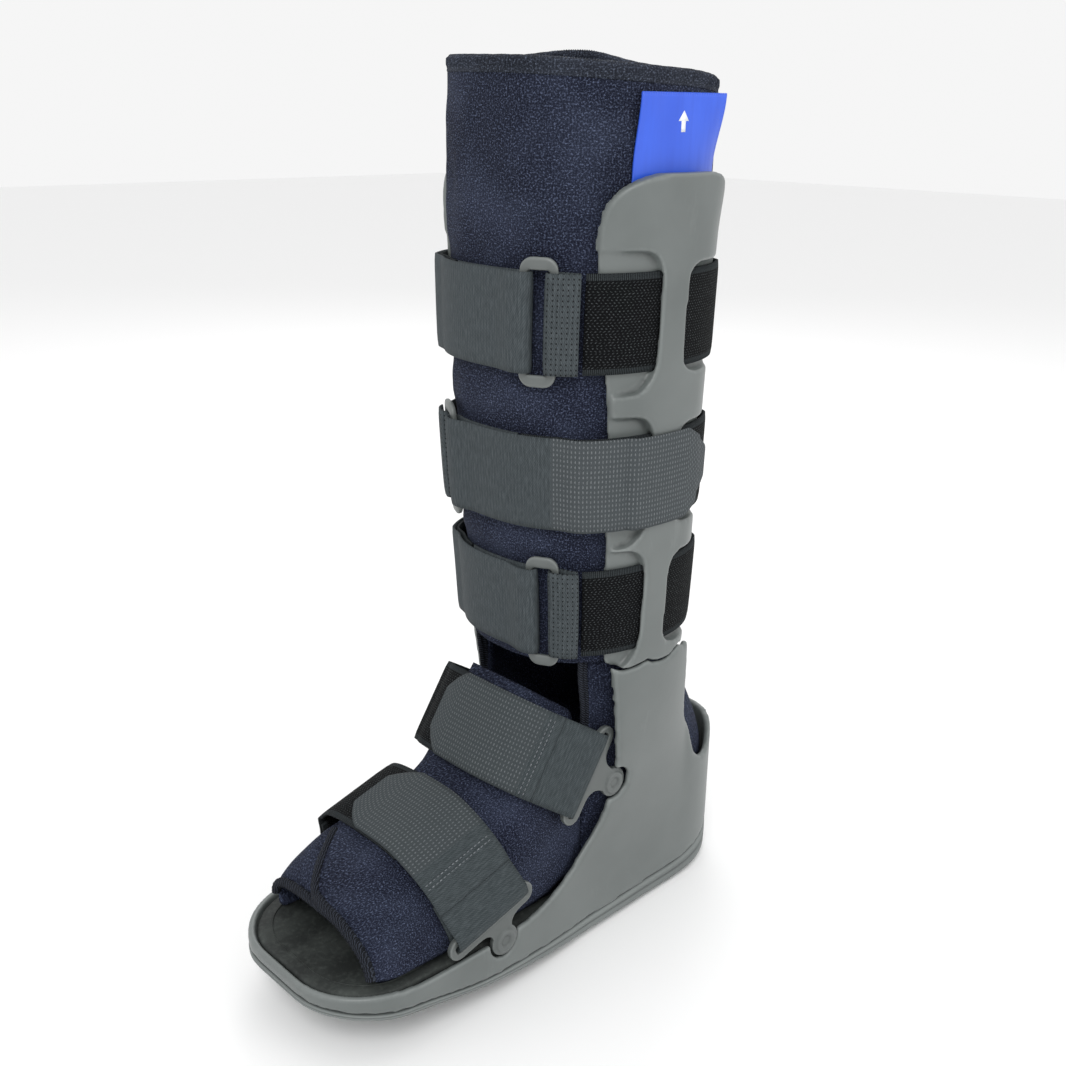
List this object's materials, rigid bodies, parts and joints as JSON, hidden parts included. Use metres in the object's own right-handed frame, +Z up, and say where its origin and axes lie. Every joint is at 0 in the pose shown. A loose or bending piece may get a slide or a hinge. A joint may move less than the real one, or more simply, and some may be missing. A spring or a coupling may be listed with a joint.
{
  "type": "medical walking boot",
  "caption": "Tall rigid walking boot with rocker sole, side uprights, padded open-toe liner and hook-and-loop straps with loops and side clips.",
  "frame": {"origin": "on the ground under the middle of the leg, on the flat tread of the outsole", "axes": "+Z up the leg, -Y towards the toe, +X to the side that shows the free ends of the straps"},
  "size_m": [0.1402, 0.286, 0.446],
  "materials": {
    "moulded_shell": "neutral grey moulded nylon, fine matt texture",
    "moulded_fittings": "dark grey moulded nylon, slightly smoother than the shell",
    "outsole_rubber": "dark grey rubber, matt",
    "insole_foam": "mottled black closed-cell foam with a fine grain",
    "liner_cloth": "dark navy loop-faced brushed knit, very matt",
    "edging": "dark grey ribbed elastic edging",
    "webbing": "slate grey flat woven strap with a hook face at its tips",
    "loop_pile": "black loop pile strap",
    "pull_sleeve": "royal blue smooth film"
  },
  "bodies": {
    "root": {"outsole": "outsole_rubber", "base_shell": "moulded_shell", "insole": "insole_foam", "upright_left": "moulded_shell", "upright_right": "moulded_shell", "pull_sleeve_left": "pull_sleeve", "pull_sleeve_right": "pull_sleeve", "leg_liner": "liner_cloth", "leg_binding": "edging", "foot_liner": "liner_cloth", "foot_flap": "liner_cloth", "flap_binding": "edging", "liner_binding": "edging", "calf_strap_band": "loop_pile", "calf_strap_tab": "webbing", "calf_strap_web": "webbing", "calf_strap_ring": "moulded_fittings", "shin_strap_band": "loop_pile", "shin_strap_tab": "webbing", "shin_strap_web": "webbing", "shin_strap_ring": "moulded_fittings", "ankle_strap_band": "loop_pile", "ankle_strap_tab": "webbing", "ankle_strap_web": "webbing", "ankle_strap_ring": "moulded_fittings", "instep_strap_hook": "webbing", "instep_strap_pile": "loop_pile", "instep_clip_left": "moulded_fittings", "instep_clip_right": "moulded_fittings", "toe_strap_hook": "webbing", "toe_strap_pile": "loop_pile", "toe_clip_left": "moulded_fittings", "toe_clip_right": "moulded_fittings"}
  },
  "joints": []
}
